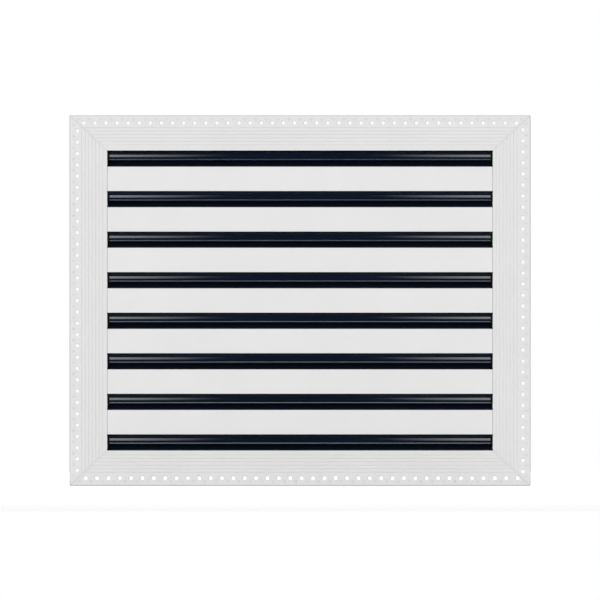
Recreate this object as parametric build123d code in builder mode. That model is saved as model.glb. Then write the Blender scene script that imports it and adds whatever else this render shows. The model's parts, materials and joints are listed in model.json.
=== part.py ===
from build123d import *

import math
import os

# A plaster-in air grille: a mitred aluminium frame round seven fixed slats, with two turning
# deflector blades in each of its eight slots.
#
# The grille stands upright as it does in a wall. X runs along the slats, Z is up and Y goes back
# into the wall. The origin is the centre of the opening, on the plane of the wall, which the back
# of the flange rests on. All sizes are in millimetres.

# --- the opening and the slots -----------------------------------------------------------------
slot_length = 457.2  # an 18 inch duct
opening_height = 355.6  # a 14 inch duct
slot_count = 8
slot_height = 19.2
slat_count = slot_count - 1
slat_width = (opening_height - slot_count * slot_height) / slat_count
slot_pitch = slot_height + slat_width

# --- the frame rails ---------------------------------------------------------------------------
long_flange_width = 41.9
side_flange_width = 44.7
flange_thickness = 2.0
flange_corner_radius = 1.6
flange_edge_radius = 1.2
neck_setback = 2.8  # from the flange's inner edge out to the neck
neck_wall = 1.8
neck_depth = 48.0
groove_first = 15.4  # from the flange's outer edge
groove_pitch = 4.13
groove_radius = 1.3
groove_depth = 0.6
hole_radius = 2.0
hole_rim_radius = 2.9
hole_inset = 9.2  # from the flange's outer edge
mark_radius = 1.0
mark_inset = 5.2
mark_depth = 1.2
mitre_line_width = 0.6
mitre_line_depth = 0.4

# --- the chamber outside the neck that takes the corner keys ------------------------------------
chamber_front = 4.0  # depth behind the wall plane
chamber_back = 18.0
chamber_wall = 1.4
chamber_gap = 5.0
key_clearance = 0.2
key_leg = 40.0
key_screw_reach = 25.0  # from the key's outer corner to its screw
screw_radius = 2.0
screw_clearance = 0.05
sink_angle = 90.0
grub_length = 4.0

# --- the core: end plates, slats and what holds them ---------------------------------------------
end_plate_thickness = neck_setback
end_plate_back = 36.0
end_plate_clearance = 0.1
edge_chamfer = 0.35
slat_face_thickness = 1.8
slat_lip_back = 3.0
slat_lip_wall = 1.4
slat_edge_radius = 0.4
slat_end_gap = 0.15
web_width = 14.0
web_back = 32.0
web_wall = 1.5
port_block = 6.0
port_depths = (8.0, 20.0)
port_screw_length = 14.0
port_sink_radius = 3.9
fixing_depth = 27.0
fixing_spacing = 120.0
long_fixings = 1
side_fixings = 3
fixing_radius = 1.5
fixing_sink_radius = 2.9
rod_radius = 2.5
rod_clearance = 0.2
rod_end_hole = 4.0
spacer_radius = 4.0

# --- the deflector blades ------------------------------------------------------------------------
pivot_inset = 0.8  # from the slot's edge to the pivot
upper_pivot_depth = 5.5
lower_pivot_depth = 13.7
upper_reach = 10.75  # from the pivot to the far edge of the blade
lower_reach = 7.7
upper_tip_forward = 4.4  # from the pivot towards the room
lower_tip_forward = 0.35
upper_lean = 35.0  # degrees forward of straight, where the blade leaves its tube
lower_lean = -6.0
tube_radius = 1.8
bore_radius = 1.2
cap_thickness = 2.6
pin_radius = 1.18
pin_in_blade = 8.0
pin_in_plate = 2.4
pin_hole_radius = 1.25
blade_thickness = 1.0
lip_radius = 0.55
blade_end_gap = 0.3

# --- worked out from the dimensions above ---------------------------------------------------------
neck_half_width = slot_length / 2 + neck_setback
neck_half_height = opening_height / 2 + neck_setback
chamber_middle = (chamber_front + chamber_back) / 2
chamber_outer = neck_wall + chamber_gap + chamber_wall
key_outer = neck_wall + chamber_gap - key_clearance
key_inner = neck_wall + 2 * key_clearance
screw_hole_radius = screw_radius + screw_clearance
fixing_hole_radius = fixing_radius + screw_clearance
fixing_length = neck_wall + end_plate_thickness
cap_outer_end = slot_length / 2 - blade_end_gap
blade_half_length = cap_outer_end - cap_thickness

ROOM = Vector(0, -1, 0)
LEFT, RIGHT = Vector(-1, 0, 0), Vector(1, 0, 0)
UP, DOWN = Vector(0, 0, 1), Vector(0, 0, -1)

os.makedirs("parts", exist_ok=True)


def write(piece, name):
    """Label a finished piece and write it to a file of the same name."""
    piece.part.label = name
    export_step(piece.part, f"parts/{name}.step")


def slot_centre(number):
    """Height of the middle of a slot, counted from 1 at the top."""
    return (opening_height - slot_height) / 2 - (number - 1) * slot_pitch


def slat_centre(number):
    """Height of the middle of a slat, counted from 1 at the top."""
    return slot_centre(number) - slot_pitch / 2


# --- frame ----------------------------------------------------------------------------------------
def frame_rail(name, outward, grooves, fixings, holes, row_length, row_shift=0.0):
    """One mitred rail. outward points from the opening to this rail's outer edge."""
    if outward.Z:
        inner_distance, width = opening_height / 2, long_flange_width
        inner_half_length, cross_width = slot_length / 2, side_flange_width
    else:
        inner_distance, width = slot_length / 2, side_flange_width
        inner_half_length, cross_width = opening_height / 2, long_flange_width
    along = outward.cross(ROOM)
    section = Plane(origin=(0, 0, 0), x_dir=outward, z_dir=along)
    face = Plane(origin=(0, 0, 0), x_dir=along, z_dir=ROOM)
    outer_distance = inner_distance + width
    outer_half_length = inner_half_length + cross_width
    neck_distance = inner_distance + neck_setback
    chamber_height = chamber_back - chamber_front

    with BuildPart() as rail:
        # section of the extrusion: flange, neck, and the chamber for the corner keys
        with BuildSketch(section) as profile:
            with Locations((inner_distance, 0)):
                Rectangle(width, flange_thickness, align=(Align.MIN, Align.MIN))
            with Locations((neck_distance, 0)):
                Rectangle(neck_wall, neck_depth, align=(Align.MIN, Align.MAX))
            outer_corners = profile.vertices().group_by(Axis.X)[-1]
            fillet(outer_corners.sort_by(Axis.Y)[-1], flange_edge_radius)
            with Locations((neck_distance, -chamber_front)):
                Rectangle(chamber_outer, chamber_height, align=(Align.MIN, Align.MAX))
            with Locations((neck_distance + neck_wall, -chamber_front - chamber_wall)):
                Rectangle(
                    chamber_gap,
                    chamber_height - 2 * chamber_wall,
                    align=(Align.MIN, Align.MAX),
                    mode=Mode.SUBTRACT,
                )
            groove_height = flange_thickness + groove_radius - groove_depth
            with Locations((outer_distance - groove_first, groove_height)):
                with GridLocations(groove_pitch, 0, grooves, 1, align=(Align.MAX, Align.CENTER)):
                    Circle(groove_radius, mode=Mode.SUBTRACT)
        extrude(amount=outer_half_length, both=True)

        # mitred ends, and the slightly rounded corners of the finished frame
        with BuildSketch(face.offset(flange_thickness)):
            RectangleRounded(2 * outer_half_length, 2 * outer_distance, flange_corner_radius)
            Polygon(
                (outer_half_length, outer_distance),
                (-outer_half_length, outer_distance),
                (-inner_half_length, inner_distance),
                (inner_half_length, inner_distance),
                mode=Mode.INTERSECT,
            )
        extrude(amount=-flange_thickness - neck_depth, mode=Mode.INTERSECT)

        # the row of holes that the plaster keys into, and the blind marks between them
        hole_pitch = row_length / (holes - 1)
        with Locations(face.offset(flange_thickness)):
            with Locations((row_shift, outer_distance - hole_inset)):
                with GridLocations(hole_pitch, 0, holes, 1):
                    CounterSinkHole(
                        hole_radius,
                        hole_rim_radius,
                        depth=flange_thickness,
                        counter_sink_angle=sink_angle,
                    )
        with BuildSketch(face.offset(flange_thickness - mark_depth)):
            with Locations((row_shift, outer_distance - mark_inset)):
                with GridLocations(hole_pitch, 0, holes + 1, 1):
                    Circle(mark_radius)
        extrude(amount=mark_depth, mode=Mode.SUBTRACT)

        # a hole near each end for the grub screw that locks the corner key
        key_end = neck_distance + key_outer
        screw_along = inner_half_length + neck_setback + key_outer - key_screw_reach
        with BuildSketch(Plane(outward * key_end, x_dir=along, z_dir=outward)):
            with Locations((-screw_along, chamber_middle), (screw_along, chamber_middle)):
                Circle(screw_hole_radius)
        extrude(amount=chamber_outer, mode=Mode.SUBTRACT)

        # countersunk holes through the neck for the screws that hold the core
        with Locations(Plane(outward * (neck_distance + neck_wall), x_dir=along, z_dir=outward)):
            with Locations((0, fixing_depth)):
                with GridLocations(fixing_spacing, 0, fixings, 1):
                    CounterSinkHole(
                        fixing_hole_radius,
                        fixing_sink_radius,
                        depth=neck_wall,
                        counter_sink_angle=sink_angle,
                    )

        # a fine line along each mitre, where the two rails' paint meets
        mitre_length = math.hypot(width, cross_width)
        mitre_angle = math.degrees(math.atan2(width, cross_width))
        mitre_along = (inner_half_length + outer_half_length) / 2
        with BuildSketch(face.offset(flange_thickness)):
            for side in (-1, 1):
                with Locations((side * mitre_along, (inner_distance + outer_distance) / 2)):
                    Rectangle(mitre_length, mitre_line_width, rotation=side * mitre_angle)
        extrude(amount=-mitre_line_depth, mode=Mode.SUBTRACT)
    write(rail, name)


frame_rail("frame_rail_top", UP, 6, long_fixings, holes=40, row_length=512.5)
frame_rail("frame_rail_bottom", DOWN, 6, long_fixings, holes=39, row_length=511.9, row_shift=-1.9)
frame_rail("frame_rail_left", LEFT, 7, side_fixings, holes=31, row_length=402.3)
frame_rail("frame_rail_right", RIGHT, 7, side_fixings, holes=32, row_length=404.7)


def corner_key(name, side, level):
    """An L-shaped key in the chambers of the two rails that meet at one corner."""
    outer_x = side * (neck_half_width + key_outer)
    outer_z = level * (neck_half_height + key_outer)
    inner_x = side * (neck_half_width + key_inner)
    inner_z = level * (neck_half_height + key_inner)
    front = chamber_front + chamber_wall + key_clearance
    back = chamber_back - chamber_wall - key_clearance
    with BuildPart() as key:
        with BuildSketch(Plane(origin=(0, back, 0), x_dir=RIGHT, z_dir=ROOM)):
            Polygon(
                (outer_x - side * key_leg, outer_z),
                (outer_x, outer_z),
                (outer_x, outer_z - level * key_leg),
                (inner_x, outer_z - level * key_leg),
                (inner_x, inner_z),
                (outer_x - side * key_leg, inner_z),
            )
        extrude(amount=back - front)
    write(key, name)


corner_key("corner_key_top_left", -1, 1)
corner_key("corner_key_top_right", 1, 1)
corner_key("corner_key_bottom_left", -1, -1)
corner_key("corner_key_bottom_right", 1, -1)

# grub screws through the chamber walls, two at each corner
with BuildPart() as corner_key_screws:
    for outward, neck_distance, half_length in (
        (UP, neck_half_height, neck_half_width),
        (DOWN, neck_half_height, neck_half_width),
        (LEFT, neck_half_width, neck_half_height),
        (RIGHT, neck_half_width, neck_half_height),
    ):
        seat = Plane(
            outward * (neck_distance + key_outer),
            x_dir=outward.cross(ROOM),
            z_dir=outward,
        )
        screw_along = half_length + key_outer - key_screw_reach
        spots = ((-screw_along, chamber_middle), (screw_along, chamber_middle))
        with BuildSketch(seat):
            with Locations(*spots):
                Circle(screw_radius)
        extrude(amount=grub_length)
        with BuildSketch(seat.offset(grub_length)):
            with Locations(*spots):
                RegularPolygon(screw_radius / 2, 6)
        extrude(amount=-grub_length / 2, mode=Mode.SUBTRACT)
write(corner_key_screws, "corner_key_screws")


# --- core ----------------------------------------------------------------------------------------
def slat(number):
    """A T-shaped extrusion: a flat front with two short lips, and a web with two screw ports."""
    face_back = flange_thickness - slat_face_thickness
    blocks = [-depth for depth in port_depths]
    ends = [face_back - web_wall, -web_back + web_wall]
    cells = [
        (ends[0], blocks[0] + port_block / 2),
        (blocks[0] - port_block / 2, blocks[1] + port_block / 2),
        (blocks[1] - port_block / 2, ends[1]),
    ]
    section = Plane(origin=(0, 0, slat_centre(number)), x_dir=UP, z_dir=UP.cross(ROOM))
    with BuildPart() as bar:
        with BuildSketch(section) as profile:
            with Locations((0, face_back)):
                Rectangle(slat_width, slat_face_thickness, align=(Align.CENTER, Align.MIN))
                Rectangle(web_width, web_back + face_back, align=(Align.CENTER, Align.MAX))
            fillet(profile.vertices().group_by(Axis.Y)[-1], slat_edge_radius)
            lip = face_back + slat_lip_back
            with Locations((-slat_width / 2, face_back)):
                Rectangle(slat_lip_wall, lip, align=(Align.MIN, Align.MAX))
            with Locations((slat_width / 2, face_back)):
                Rectangle(slat_lip_wall, lip, align=(Align.MAX, Align.MAX))
            for top, bottom in cells:
                with Locations((0, top)):
                    Rectangle(
                        web_width - 2 * web_wall,
                        top - bottom,
                        align=(Align.CENTER, Align.MAX),
                        mode=Mode.SUBTRACT,
                    )
            with Locations(*[(0, block) for block in blocks]):
                Circle(screw_hole_radius, mode=Mode.SUBTRACT)
        extrude(amount=slot_length / 2 - slat_end_gap, both=True)
        front_face = bar.faces().sort_by(Axis.Y)[0]
        chamfer(front_face.edges().filter_by(Axis.Z), edge_chamfer)
        with BuildSketch(Plane.XY.offset(slat_centre(number) - web_width / 2)):
            with Locations((0, fixing_depth)):
                Circle(rod_radius + rod_clearance)
        extrude(amount=web_width, mode=Mode.SUBTRACT)
    write(bar, f"slat_{number}")


for number in range(1, slat_count + 1):
    slat(number)


def pivot_spots(number):
    """Depth and height of the upper and the lower pivot of a slot."""
    centre = slot_centre(number)
    arm = slot_height / 2 - pivot_inset
    return (upper_pivot_depth, centre + arm), (lower_pivot_depth, centre - arm)


def port_spots(side):
    """Places of the slats' screw ports on an end plate's face."""
    return [
        (side * depth, slat_centre(number))
        for number in range(1, slat_count + 1)
        for depth in port_depths
    ]


def end_plate(name, side):
    """The plate that closes the slots at one side, with a countersunk hole for each slat screw."""
    height = 2 * (neck_half_height - end_plate_clearance)
    inner = Plane(
        origin=(side * slot_length / 2, 0, 0),
        x_dir=ROOM * -side,
        z_dir=RIGHT * side,
    )
    outer = inner.offset(end_plate_thickness)
    pivots = [
        (side * depth, level)
        for number in range(1, slot_count + 1)
        for depth, level in pivot_spots(number)
    ]
    with BuildPart() as plate:
        with BuildSketch(inner):
            with Locations((side * end_plate_back / 2, 0)):
                Rectangle(end_plate_back, height)
        extrude(amount=end_plate_thickness)
        with BuildSketch(inner):
            with Locations(*pivots):
                Circle(pin_hole_radius)
            with Locations((side * fixing_depth, 0)):
                with GridLocations(0, fixing_spacing, 1, side_fixings):
                    Circle(fixing_hole_radius)
        extrude(amount=end_plate_thickness, mode=Mode.SUBTRACT)
        with Locations(outer):
            with Locations(*port_spots(side)):
                CounterSinkHole(
                    screw_hole_radius,
                    port_sink_radius,
                    depth=end_plate_thickness,
                    counter_sink_angle=sink_angle,
                )
    write(plate, name)


end_plate("end_plate_left", -1)
end_plate("end_plate_right", 1)


def sunk_screws(name, rows, radius, sink_radius, length):
    """Countersunk screws. rows pairs the plane that the heads are level with and their places."""
    head_radius = sink_radius - screw_clearance
    head_height = head_radius - radius
    with BuildPart() as screws:
        for head_face, spots in rows:
            with BuildSketch(head_face):
                with Locations(*spots):
                    Circle(radius)
            extrude(amount=-length)
            with BuildSketch(head_face):
                with Locations(*spots):
                    Circle(head_radius)
            extrude(amount=-head_height, taper=sink_angle / 2)
            with BuildSketch(head_face):
                with Locations(*spots):
                    RegularPolygon(head_radius / 3, 6)
            extrude(amount=-head_height, mode=Mode.SUBTRACT)
    write(screws, name)


# screws through the end plates into the slats' ports
port_rows = []
for side in (-1, 1):
    plate_face = Plane(
        origin=(side * neck_half_width, 0, 0),
        x_dir=ROOM * -side,
        z_dir=RIGHT * side,
    )
    port_rows.append((plate_face, port_spots(side)))
sunk_screws("end_plate_screws", port_rows, screw_radius, port_sink_radius, port_screw_length)

# screws through the neck into the end plates and the ends of the tie rod
fixing_rows = []
for outward, distance, fixings in (
    (UP, neck_half_height, long_fixings),
    (DOWN, neck_half_height, long_fixings),
    (LEFT, neck_half_width, side_fixings),
    (RIGHT, neck_half_width, side_fixings),
):
    neck_face = Plane(
        outward * (distance + neck_wall),
        x_dir=outward.cross(ROOM),
        z_dir=outward,
    )
    first = -(fixings - 1) * fixing_spacing / 2
    spots = [(first + step * fixing_spacing, fixing_depth) for step in range(fixings)]
    fixing_rows.append((neck_face, spots))
sunk_screws("core_fixing_screws", fixing_rows, fixing_radius, fixing_sink_radius, fixing_length)

# tie rod through every slat's web, with a threaded hole in each end
with BuildPart() as tie_rod:
    with BuildSketch(Plane.XY.offset(-neck_half_height)):
        with Locations((0, fixing_depth)):
            Circle(rod_radius)
    extrude(amount=2 * neck_half_height)
    for level, inward in ((-neck_half_height, 1), (neck_half_height, -1)):
        with BuildSketch(Plane.XY.offset(level)):
            with Locations((0, fixing_depth)):
                Circle(fixing_hole_radius)
        extrude(amount=inward * rod_end_hole, mode=Mode.SUBTRACT)
write(tie_rod, "tie_rod")

# spacer tubes on the rod, one in each slot, between the slats' webs and the necks
with BuildPart() as spacer_tubes:
    for number in range(1, slot_count + 1):
        reach = slot_height / 2 + (slat_width - web_width) / 2
        top = neck_half_height if number == 1 else slot_centre(number) + reach
        bottom = -neck_half_height if number == slot_count else slot_centre(number) - reach
        with BuildSketch(Plane.XY.offset(bottom)):
            with Locations((0, fixing_depth)):
                Circle(spacer_radius)
                Circle(rod_radius + rod_clearance, mode=Mode.SUBTRACT)
        extrude(amount=top - bottom)
write(spacer_tubes, "spacer_tubes")


# --- deflector blades -------------------------------------------------------------------------------
def blade_section(start, pivot, reach, tip_forward, lean, lift):
    """Section of a curved blade on a tube, at a distance along the slot. lift is -1 for a blade
    that hangs from its pivot and 1 for one that stands above it."""
    forward = math.sin(math.radians(lean))
    upright = math.cos(math.radians(lean))
    root = tube_radius - blade_thickness / 2
    tip = (-tip_forward, lift * (reach - lip_radius))
    with BuildSketch(Plane(origin=(start, *pivot), x_dir=-ROOM, z_dir=RIGHT)) as section:
        Circle(tube_radius)
        with BuildLine():
            TangentArc(
                (-root * upright, -lift * root * forward),
                tip,
                tangent=(-forward, lift * upright),
            )
        trace(line_width=blade_thickness)
        with Locations(tip):
            Circle(lip_radius)
    return section.sketch


def deflector(name, pivot, **shape):
    """A blade of even section, with a bore along its tube for the pins."""
    with BuildPart() as blade:
        extrude(blade_section(0, pivot, **shape), amount=blade_half_length, both=True)
        with BuildSketch(Plane(origin=(0, *pivot), z_dir=RIGHT)):
            Circle(bore_radius)
        extrude(amount=blade_half_length, both=True, mode=Mode.SUBTRACT)
    write(blade, name)


def end_caps(name, pivot, **shape):
    """The two caps on a blade's ends, each with a pin for the blade's tube and the end plate."""
    inner_end = blade_half_length - pin_in_blade
    outer_end = slot_length / 2 + pin_in_plate
    with BuildPart() as caps:
        for side in (-1, 1):
            start = side * blade_half_length
            extrude(blade_section(start, pivot, **shape), amount=side * cap_thickness)
            with BuildSketch(Plane(origin=(side * inner_end, *pivot), z_dir=RIGHT * side)):
                Circle(pin_radius)
            extrude(amount=outer_end - inner_end)
    write(caps, name)


for number in range(1, slot_count + 1):
    upper_pivot, lower_pivot = pivot_spots(number)
    upper_shape = {
        "reach": upper_reach,
        "tip_forward": upper_tip_forward,
        "lean": upper_lean,
        "lift": -1,
    }
    lower_shape = {
        "reach": lower_reach,
        "tip_forward": lower_tip_forward,
        "lean": lower_lean,
        "lift": 1,
    }
    deflector(f"upper_deflector_{number}", upper_pivot, **upper_shape)
    deflector(f"lower_deflector_{number}", lower_pivot, **lower_shape)
    end_caps(f"upper_deflector_caps_{number}", upper_pivot, **upper_shape)
    end_caps(f"lower_deflector_caps_{number}", lower_pivot, **lower_shape)
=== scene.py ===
import json
import math

import bmesh
import bpy
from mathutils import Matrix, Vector


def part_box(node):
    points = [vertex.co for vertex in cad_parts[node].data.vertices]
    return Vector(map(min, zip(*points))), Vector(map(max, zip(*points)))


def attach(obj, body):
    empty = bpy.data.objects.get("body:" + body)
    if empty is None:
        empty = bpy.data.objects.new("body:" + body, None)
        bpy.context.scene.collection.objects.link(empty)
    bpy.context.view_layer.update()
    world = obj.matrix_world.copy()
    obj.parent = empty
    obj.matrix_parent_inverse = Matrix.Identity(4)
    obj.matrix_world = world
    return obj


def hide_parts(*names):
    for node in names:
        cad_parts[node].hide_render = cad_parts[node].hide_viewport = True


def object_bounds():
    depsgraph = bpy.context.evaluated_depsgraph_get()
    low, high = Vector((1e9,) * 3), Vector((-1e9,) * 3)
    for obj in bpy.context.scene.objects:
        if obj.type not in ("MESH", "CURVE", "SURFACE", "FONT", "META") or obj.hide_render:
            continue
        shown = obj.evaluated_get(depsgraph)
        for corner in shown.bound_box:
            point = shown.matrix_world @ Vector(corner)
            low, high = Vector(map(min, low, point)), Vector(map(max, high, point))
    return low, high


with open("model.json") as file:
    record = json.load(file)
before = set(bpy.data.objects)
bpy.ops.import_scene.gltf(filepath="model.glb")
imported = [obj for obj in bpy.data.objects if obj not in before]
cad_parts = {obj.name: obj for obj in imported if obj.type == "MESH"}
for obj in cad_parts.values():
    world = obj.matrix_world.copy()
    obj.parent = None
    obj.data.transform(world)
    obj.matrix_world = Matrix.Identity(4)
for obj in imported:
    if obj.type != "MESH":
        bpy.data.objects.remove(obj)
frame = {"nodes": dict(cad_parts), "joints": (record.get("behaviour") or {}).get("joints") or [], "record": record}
cad_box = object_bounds()

# The grille stands upright on its lower edge. X runs along the slats, Y goes back into the wall.
low, high = (Vector(corner) for corner in cad_box)
centre = (low + high) / 2
half_width = (high.x - low.x) / 2
half_height = (high.z - low.z) / 2

# --- camera -----------------------------------------------------------------------------------
view_width = 0.711  # how much of the plane of the grille's face fills the square picture
camera_distance = 25.0
camera_rise = 0.0006  # above the grille's middle
sensor_width = 36.0


def add_camera():
    """A long lens straight in front of the grille, so that the view is nearly parallel."""
    data = bpy.data.cameras.new("camera")
    data.sensor_width = sensor_width
    data.lens = sensor_width * camera_distance / view_width
    data.clip_end = 2 * camera_distance
    camera = bpy.data.objects.new("camera", data)
    camera.location = (centre.x, low.y - camera_distance, centre.z + camera_rise)
    camera.rotation_euler = (math.radians(90), 0, 0)
    bpy.context.scene.collection.objects.link(camera)
    bpy.context.scene.camera = camera


# --- node helpers -----------------------------------------------------------------------------
def new_material(name):
    """A material with only a Principled shader. Returns the material, its tree and the shader."""
    material = bpy.data.materials.new(name)
    material.use_nodes = True
    tree = material.node_tree
    tree.nodes.clear()
    shader = tree.nodes.new("ShaderNodeBsdfPrincipled")
    output = tree.nodes.new("ShaderNodeOutputMaterial")
    tree.links.new(shader.outputs["BSDF"], output.inputs["Surface"])
    return material, tree, shader


def put(tree, value, socket):
    """Link the value to the socket if it comes from another node, or else set it there."""
    if isinstance(value, bpy.types.NodeSocket):
        tree.links.new(value, socket)
    else:
        socket.default_value = value


def noise(tree, scale, detail=2.0, stretch=(1, 1, 1)):
    """Noise over the object's own coordinates in metres. A stretch under 1 draws an axis out."""
    coordinates = tree.nodes.new("ShaderNodeTexCoord")
    mapping = tree.nodes.new("ShaderNodeMapping")
    mapping.inputs["Scale"].default_value = stretch
    texture = tree.nodes.new("ShaderNodeTexNoise")
    texture.inputs["Scale"].default_value = scale
    texture.inputs["Detail"].default_value = detail
    tree.links.new(coordinates.outputs["Object"], mapping.inputs["Vector"])
    tree.links.new(mapping.outputs["Vector"], texture.inputs["Vector"])
    return texture.outputs["Fac"]


def ramp(tree, value, stops):
    """Colours between two stops of (position, colour)."""
    node = tree.nodes.new("ShaderNodeValToRGB")
    for element, (position, colour) in zip(node.color_ramp.elements, stops):
        element.position = position
        element.color = (*colour, 1)
    tree.links.new(value, node.inputs["Fac"])
    return node.outputs["Color"]


def spread(tree, value, low_value, high_value, start=0.0, end=1.0):
    """A value that goes from low_value to high_value as the given one goes from start to end."""
    node = tree.nodes.new("ShaderNodeMapRange")
    node.inputs["From Min"].default_value = start
    node.inputs["From Max"].default_value = end
    node.inputs["To Min"].default_value = low_value
    node.inputs["To Max"].default_value = high_value
    tree.links.new(value, node.inputs["Value"])
    return node.outputs["Result"]


def arithmetic(tree, operation, *values):
    """The result of a Math node."""
    node = tree.nodes.new("ShaderNodeMath")
    node.operation = operation
    for value, socket in zip(values, node.inputs):
        put(tree, value, socket)
    return node.outputs["Value"]


def product(tree, first, *others):
    """Several values multiplied together."""
    for other in others:
        first = arithmetic(tree, "MULTIPLY", first, other)
    return first


def by_ray(tree, kind, to_camera, to_others, socket):
    """Give the socket one value for camera rays and another for all other rays."""
    path = tree.nodes.new("ShaderNodeLightPath")
    choice = tree.nodes.new("ShaderNodeMix")
    choice.data_type = kind
    tree.links.new(path.outputs["Is Camera Ray"], choice.inputs["Factor"])
    put(tree, to_others, choice.inputs["A"])
    put(tree, to_camera, choice.inputs["B"])
    tree.links.new(choice.outputs["Result"], socket)


def bump(tree, shader, height, depth, strength=1.0):
    """Raise the surface by height times depth in metres."""
    node = tree.nodes.new("ShaderNodeBump")
    node.inputs["Distance"].default_value = depth
    node.inputs["Strength"].default_value = strength
    tree.links.new(height, node.inputs["Height"])
    tree.links.new(node.outputs["Normal"], shader.inputs["Normal"])


# --- thin dark lines on the white coat: joint lines, and painted shade ------------------------
# Width, the blur beyond it, and how much of the white is left: for the lines along the mitred
# joints (half the width), along the frame's outer edge, and at the slats' ends. The edge line is
# painted shade on the frame's rounded outer edge. The end line is painted shade in the gap
# between each slat's end and the frame.
joint_line = (0.0004, 0.0003, 0.92)
# painted shade on the frame's rounded outer edge
painted_edge_shade_line = (0.0011, 0.0003, 0.82)
# painted shade in the gap between each slat's end and the frame
painted_gap_shade_line = (0.0003, 0.0001, 0.5)


def from_middle(tree):
    """How far a point lies sideways, and up or down, from the middle of the grille."""
    coordinates = tree.nodes.new("ShaderNodeTexCoord")
    mapping = tree.nodes.new("ShaderNodeMapping")
    mapping.inputs["Location"].default_value = -centre
    unsigned = tree.nodes.new("ShaderNodeVectorMath")
    unsigned.operation = "ABSOLUTE"
    parts = tree.nodes.new("ShaderNodeSeparateXYZ")
    tree.links.new(coordinates.outputs["Object"], mapping.inputs["Vector"])
    tree.links.new(mapping.outputs["Vector"], unsigned.inputs[0])
    tree.links.new(unsigned.outputs["Vector"], parts.inputs["Vector"])
    return parts.outputs["X"], parts.outputs["Z"]


def dark_line(tree, distance, line):
    """A value of 1, lowered where the distance is within the line's width."""
    width, blur, left_white = line
    return spread(tree, distance, left_white, 1.0, start=width, end=width + blur)


def rail_joint_lines_and_edge_shade(tree):
    """Darker along the mitred joints, and painted shade along the frame's outer edge."""
    aside, above = from_middle(tree)
    left_low, left_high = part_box("frame_rail_left")
    top_low, top_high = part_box("frame_rail_top")
    mitre = Vector((left_high.x - left_low.x, top_high.z - top_low.z)).normalized()
    corner = half_width * mitre.y - half_height * mitre.x
    across = arithmetic(
        tree,
        "SUBTRACT",
        arithmetic(tree, "MULTIPLY", aside, mitre.y),
        arithmetic(tree, "MULTIPLY", above, mitre.x),
    )
    from_joint = arithmetic(tree, "ABSOLUTE", arithmetic(tree, "SUBTRACT", across, corner))
    # painted shade: the white darkens near the frame's outer edge
    from_edge = arithmetic(
        tree,
        "MINIMUM",
        arithmetic(tree, "SUBTRACT", half_width, aside),
        arithmetic(tree, "SUBTRACT", half_height, above),
    )
    return product(
        tree,
        dark_line(tree, from_joint, joint_line),
        dark_line(tree, from_edge, painted_edge_shade_line),
    )


def slat_end_painted_shade(tree):
    """Painted shade at the slats' two ends, in the gap where they meet the frame."""
    aside, _ = from_middle(tree)
    left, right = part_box("slat_1")
    # painted shade: the white darkens near each end of the slat
    from_end = arithmetic(tree, "SUBTRACT", (right.x - left.x) / 2, aside)
    return dark_line(tree, from_end, painted_gap_shade_line)


# --- materials --------------------------------------------------------------------------------
slat_white = 0.765
rail_white = 0.74
clouding = 0.01  # how far the white wanders either way


def white_powder_coat(name="white_powder_coat", white=slat_white, shading=None):
    """Satin white powder coat: fine orange peel, and very slight clouding of the white.

    shading makes a value from 0 to 1 that darkens the white: dark joint lines on the rails,
    and painted shade along the frame's outer edge and at the slats' ends.
    """
    material, tree, shader = new_material(name)
    clouds = noise(tree, 14.0, detail=3.0)
    duller, brighter = white - clouding, white + clouding
    shades = ((0.3, (duller, duller, duller - 0.003)), (0.7, (brighter, brighter, brighter)))
    colour = ramp(tree, clouds, shades)
    if shading:
        darker = tree.nodes.new("ShaderNodeVectorMath")
        darker.operation = "SCALE"
        tree.links.new(colour, darker.inputs[0])
        tree.links.new(shading(tree), darker.inputs["Scale"])
        colour = darker.outputs["Vector"]
    tree.links.new(colour, shader.inputs["Base Color"])
    tree.links.new(spread(tree, noise(tree, 60.0), 0.42, 0.52), shader.inputs["Roughness"])
    shader.inputs["Specular IOR Level"].default_value = 0.35
    bump(tree, shader, noise(tree, 700.0, detail=1.0), 0.00002, 0.2)
    return material


def black_gloss_paint():
    """Blue-black gloss paint on the deflectors, with a trace of drawing lines along them."""
    material, tree, shader = new_material("black_gloss_paint")
    clouds = noise(tree, 40.0, stretch=(0.15, 1, 1))
    black = ramp(tree, clouds, ((0.3, (0.0024, 0.0058, 0.0150)), (0.7, (0.0034, 0.0078, 0.0190))))
    tree.links.new(black, shader.inputs["Base Color"])
    tree.links.new(spread(tree, noise(tree, 120.0), 0.02, 0.04), shader.inputs["Roughness"])
    shader.inputs["Specular IOR Level"].default_value = 0.25
    bump(tree, shader, noise(tree, 500.0, stretch=(0.05, 1, 1)), 0.00001, 0.2)
    return material


def black_plastic():
    """Moulded black nylon on the deflectors' ends: matt, with a fine grain."""
    material, tree, shader = new_material("black_plastic")
    grain = noise(tree, 1800.0)
    black = ramp(tree, grain, ((0.3, (0.0022, 0.0028, 0.0040)), (0.7, (0.0045, 0.0052, 0.0070))))
    tree.links.new(black, shader.inputs["Base Color"])
    tree.links.new(spread(tree, grain, 0.5, 0.7), shader.inputs["Roughness"])
    shader.inputs["Specular IOR Level"].default_value = 0.15
    bump(tree, shader, grain, 0.00002, 0.4)
    return material


def mill_aluminium():
    """Bare extruded aluminium with fine lines along its length."""
    material, tree, shader = new_material("mill_aluminium")
    lines = noise(tree, 700.0, detail=4.0, stretch=(0.05, 1, 1))
    grey = ramp(tree, lines, ((0.3, (0.52, 0.53, 0.54)), (0.7, (0.66, 0.67, 0.68))))
    tree.links.new(grey, shader.inputs["Base Color"])
    tree.links.new(spread(tree, lines, 0.28, 0.45), shader.inputs["Roughness"])
    shader.inputs["Metallic"].default_value = 1.0
    bump(tree, shader, lines, 0.00002, 0.4)
    return material


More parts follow.
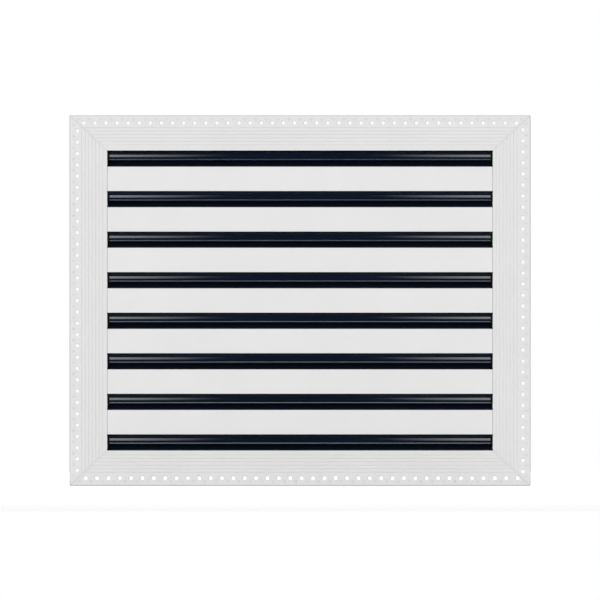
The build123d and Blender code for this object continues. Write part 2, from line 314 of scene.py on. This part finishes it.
def zinc_plated_steel():
    """Bright zinc plate with the faint mottling of a passivated finish."""
    material, tree, shader = new_material("zinc_plated_steel")
    mottle = noise(tree, 350.0, detail=3.0)
    zinc = ramp(tree, mottle, ((0.35, (0.50, 0.51, 0.54)), (0.65, (0.63, 0.64, 0.65))))
    tree.links.new(zinc, shader.inputs["Base Color"])
    tree.links.new(spread(tree, mottle, 0.22, 0.36), shader.inputs["Roughness"])
    shader.inputs["Metallic"].default_value = 1.0
    bump(tree, shader, noise(tree, 1500.0), 0.00001, 0.3)
    return material


def make_materials():
    """One material for each material slot of the record, by the slot's name."""
    makers = (
        white_powder_coat,
        black_gloss_paint,
        black_plastic,
        mill_aluminium,
        zinc_plated_steel,
    )
    return {maker.__name__: maker() for maker in makers}


def paint_nodes(materials):
    """Give every CAD node the material of its slot in the record.

    The rails and the slats have the white coat with their own dark lines, and the rails' white
    is a touch greyer. The rails' lines are dark joints plus painted shade along the outer edge.
    The slats' lines are painted shade at their ends.
    """
    own_coats = {
        "frame_rail": white_powder_coat("rail_powder_coat", rail_white, rail_joint_lines_and_edge_shade),
        "slat": white_powder_coat("slat_powder_coat", slat_white, slat_end_painted_shade),
    }
    for entry in frame["record"]["subparts"]:
        material = materials[entry["material_slot"]]
        for beginning, coat in own_coats.items():
            if entry["node"].startswith(beginning):
                material = coat
        node = frame["nodes"][entry["node"]]
        node.data.materials.clear()
        node.data.materials.append(material)


# --- deflector blades -------------------------------------------------------------------------
# The blades are what the light plays on, so they are drawn here with an even, fine curve. Their
# sizes are the CAD blades' own: the box and the pivot give the rest.
blade_thickness = 0.0010
bore_radius = 0.0012
lip_radius = 0.00055
upper_lean = math.radians(35)  # forward of straight, where the blade leaves its tube
lower_lean = math.radians(-6)
lower_tip_depth = -0.00035  # from the pivot, into the wall
arc_steps = 48
turn_steps = 40
sharp_angle = math.radians(30)


def arc(middle, radius, start, turn, steps):
    """Points of a circle's arc from the angle start through the angle turn, both ends included."""
    angles = [start + turn * step / steps for step in range(steps + 1)]
    return [middle + radius * Vector((math.cos(a), math.sin(a))) for a in angles]


def turn_between(first, second):
    """The angle from one direction to another, from -180 to 180 degrees."""
    return math.atan2(first.x * second.y - first.y * second.x, first.dot(second))


def blade_outline(tube_radius, tip, lean):
    """The section's outline about the pivot, as (depth, height) points in order.

    The blade stands above its pivot. It leaves the front of the tube along an arc that leans
    forward by lean and ends in a rounded lip at tip.
    """
    level = Vector((1, 0))
    to_the_front = Vector((-math.cos(lean), -math.sin(lean)))
    half = blade_thickness / 2
    root = (tube_radius - half) * to_the_front
    chord = tip - root
    radius = -chord.length_squared / (2 * chord.dot(to_the_front))
    middle = root - radius * to_the_front
    start = turn_between(level, to_the_front)
    whole_turn = turn_between(to_the_front, (tip - middle) / radius)
    lip_reach = math.sqrt(lip_radius**2 - half**2)
    turn = whole_turn - math.copysign(lip_reach / abs(radius), whole_turn)
    front_side = arc(middle, radius + half, start, turn, arc_steps)

    # the back of the blade comes out of the tube where their two circles cross
    apart = middle.length
    toward = middle / apart
    sideways = Vector((-toward.y, toward.x))
    along = (tube_radius**2 - (radius - half) ** 2 + apart**2) / (2 * apart)
    across = math.sqrt(tube_radius**2 - along**2)
    leaving = max(
        (along * toward + side * across * sideways for side in (-1, 1)),
        key=lambda crossing: crossing.y,
    )
    back_start = start + turn
    back_turn = turn_between(front_side[-1] - middle, leaving - middle)
    back_side = arc(middle, radius - half, back_start, back_turn, arc_steps)

    lip_turn = -2 * (math.pi - math.atan2(half, lip_reach))
    lip_start = turn_between(level, front_side[-1] - tip)
    lip = arc(tip, lip_radius, lip_start, lip_turn, turn_steps)
    tube_start = turn_between(level, leaving)
    tube_turn = turn_between(leaving, front_side[0]) % (2 * math.pi) - 2 * math.pi
    tube = arc(Vector((0, 0)), tube_radius, tube_start, tube_turn, 2 * turn_steps)
    return front_side + lip[1:-1] + back_side + tube[1:-1]


def bar_end(shape, loops, x):
    """A bar's flat end at x, filled between its loops. Returns the corners of each loop."""
    rings = []
    edges = []
    for points in loops:
        corners = [shape.verts.new((x, point.x, point.y)) for point in points]
        after = corners[1:] + corners[:1]
        edges += [shape.edges.new(pair) for pair in zip(corners, after)]
        rings.append(corners)
    bmesh.ops.triangle_fill(shape, use_beauty=True, use_dissolve=False, edges=edges)
    return rings


def blade_mesh(name, outline, bore, left, right):
    """A bar of even section from left to right, open along its bore."""
    mesh = bpy.data.meshes.new(name)
    shape = bmesh.new()
    ends = [bar_end(shape, (outline, bore), x) for x in (left, right)]
    for near, far in zip(*ends):
        for place in range(len(near)):
            after = (place + 1) % len(near)
            shape.faces.new((near[place], near[after], far[after], far[place]))
    bmesh.ops.recalc_face_normals(shape, faces=shape.faces)
    shape.to_mesh(mesh)
    shape.free()
    mesh.shade_smooth()
    mesh.set_sharp_from_angle(angle=sharp_angle)
    return mesh


def draw_blades(materials):
    """Every deflector blade, in the place of the CAD blade on the same body."""
    for joint in frame["joints"]:
        node = joint["child"]
        pivot = Vector(joint["pos_m"])
        lowest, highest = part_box(node)
        hangs = node.startswith("upper")
        flip = -1 if hangs else 1
        far_edge = lowest.z if hangs else highest.z
        tube_edge = highest.z if hangs else lowest.z
        tube_radius = abs(tube_edge - pivot.z)
        reach = abs(far_edge - pivot.z) - lip_radius
        tip_depth = lowest.y + lip_radius - pivot.y if hangs else lower_tip_depth
        lean = upper_lean if hangs else lower_lean
        outline = blade_outline(tube_radius, Vector((tip_depth, reach)), lean)
        bore = arc(Vector((0, 0)), bore_radius, 0, 2 * math.pi, turn_steps)[:-1]
        placed = [
            [Vector((pivot.y + point.x, pivot.z + flip * point.y)) for point in points]
            for points in (outline, bore)
        ]
        mesh = blade_mesh(node + "_blade", *placed, lowest.x, highest.x)
        mesh.materials.append(materials["black_gloss_paint"])
        blade = bpy.data.objects.new(node + "_blade", mesh)
        bpy.context.scene.collection.objects.link(blade)
        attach(blade, node)
        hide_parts(node)


# --- floor ------------------------------------------------------------------------------------
floor_aside = 2.0  # how far it goes to the left and to the right
floor_front = -3.0
floor_back = 2.0
floor_reflected = 0.85  # its white as a reflector, so that little light comes from below
floor_glow = 0.25  # seen by the camera only


def pale_floor():
    """A nearly white floor, which is paler to the camera than as a reflector."""
    material, tree, shader = new_material("pale_floor")
    pale = ramp(tree, noise(tree, 3.0), ((0.3, (0.95, 0.95, 0.95)), (0.7, (0.97, 0.97, 0.97))))
    reflected = (floor_reflected, floor_reflected, floor_reflected, 1)
    by_ray(tree, "RGBA", pale, reflected, shader.inputs["Base Color"])
    by_ray(tree, "FLOAT", floor_glow, 0.0, shader.inputs["Emission Strength"])
    shader.inputs["Emission Color"].default_value = (1, 1, 1, 1)
    shader.inputs["Roughness"].default_value = 0.9
    shader.inputs["Specular IOR Level"].default_value = 0.0
    return material


def add_floor():
    """A plain pale floor under the grille's lower edge."""
    mesh = bpy.data.meshes.new("floor")
    corners = [
        (-floor_aside, floor_front, low.z),
        (floor_aside, floor_front, low.z),
        (floor_aside, floor_back, low.z),
        (-floor_aside, floor_back, low.z),
    ]
    mesh.from_pydata(corners, [], [(0, 1, 2, 3)])
    mesh.materials.append(pale_floor())
    floor = bpy.data.objects.new("floor", mesh)
    bpy.context.scene.collection.objects.link(floor)


# --- lights -----------------------------------------------------------------------------------
# Places are from the grille's middle, and a panel's size is its width and its height. A radiance
# of 1 looks as bright as white paper.

# Two far panels make the streaks on the blades.
streak_distance = 12.0
streak_elevation = math.radians(26.8)
streak_aside = 0.338
streak_size = (0.37, 3.4)
streak_radiance = 10.5
streak_fade = 0.52

# Name, place, size and radiance. The first, low and far in front, lights the lips of the blades.
# The other two soften the shadows.
plain_panels = (
    ("lip_panel", (0, -24.0, 0.45), (3.2, 1.3), 12.5),
    ("overhead_panel", (0, 1.2, 2.6), (5.0, 4.0), 0.9),
    ("back_panel", (0, 4.0, 3.0), (4.0, 3.0), 2.4),
)


def add_panel(name, place, size, radiance, fade=0.0):
    """A soft rectangular light that faces the grille.

    fade is the share of the panel's width, from its left edge, over which it comes up to full
    brightness. A negative fade is the same from its right edge.
    """
    data = bpy.data.lights.new(name, "AREA")
    data.shape = "RECTANGLE"
    data.size, data.size_y = size
    data.energy = radiance * math.pi * size[0] * size[1]
    if fade:
        data.use_nodes = True
        tree = data.node_tree
        geometry = tree.nodes.new("ShaderNodeNewGeometry")
        parts = tree.nodes.new("ShaderNodeSeparateXYZ")
        tree.links.new(geometry.outputs["Parametric"], parts.inputs["Vector"])
        start = 0.0 if fade > 0 else 1.0
        strength = spread(tree, parts.outputs["X"], 0.0, 1.0, start=start, end=start + fade)
        tree.links.new(strength, tree.nodes["Emission"].inputs["Strength"])
    light = bpy.data.objects.new(name, data)
    light.location = centre + Vector(place)
    aim = centre - light.location
    light.rotation_euler = aim.to_track_quat("-Z", "Y").to_euler()
    bpy.context.scene.collection.objects.link(light)


def add_lights():
    """The two panels for the streaks, and the plain ones."""
    ahead = -streak_distance * math.cos(streak_elevation)
    above = streak_distance * math.sin(streak_elevation)
    for side, name in ((-1, "left_panel"), (1, "right_panel")):
        place = (side * streak_aside, ahead, above)
        add_panel(name, place, streak_size, streak_radiance, side * streak_fade)
    for panel in plain_panels:
        add_panel(*panel)


# --- world ------------------------------------------------------------------------------------
# How strong the world is as a light, by the direction that the light comes from.
from_left, from_right = 1.5, 0.5
from_front, from_wall = 1.475, 0.0
wall_start = 0.4  # the Y of a direction, out of 1, from which the strength is from_wall
from_below, from_above = 0.7, 1.15
in_gloss = 0.05  # what glossy rays see of it, so that the gloss shows only the panels


def light_world():
    """Plain white to the camera. As a light it is brightest from the upper left and in front."""
    world = bpy.data.worlds.new("studio")
    world.use_nodes = True
    tree = world.node_tree
    background = tree.nodes["Background"]
    coordinates = tree.nodes.new("ShaderNodeTexCoord")
    parts = tree.nodes.new("ShaderNodeSeparateXYZ")
    tree.links.new(coordinates.outputs["Generated"], parts.inputs["Vector"])
    path = tree.nodes.new("ShaderNodeLightPath")
    strength = product(
        tree,
        spread(tree, parts.outputs["X"], from_left, from_right, start=-1.0),
        spread(tree, parts.outputs["Y"], from_front, from_wall, start=-1.0, end=wall_start),
        spread(tree, parts.outputs["Z"], from_below, from_above, start=-1.0),
        spread(tree, path.outputs["Is Glossy Ray"], 1.0, in_gloss),
    )
    by_ray(tree, "FLOAT", 1.0, strength, background.inputs["Strength"])
    background.inputs["Color"].default_value = (1, 1, 1, 1)
    bpy.context.scene.world = world


materials = make_materials()
paint_nodes(materials)
draw_blades(materials)
add_floor()
add_lights()
light_world()
add_camera()
bpy.context.scene.view_settings.view_transform = "Standard"
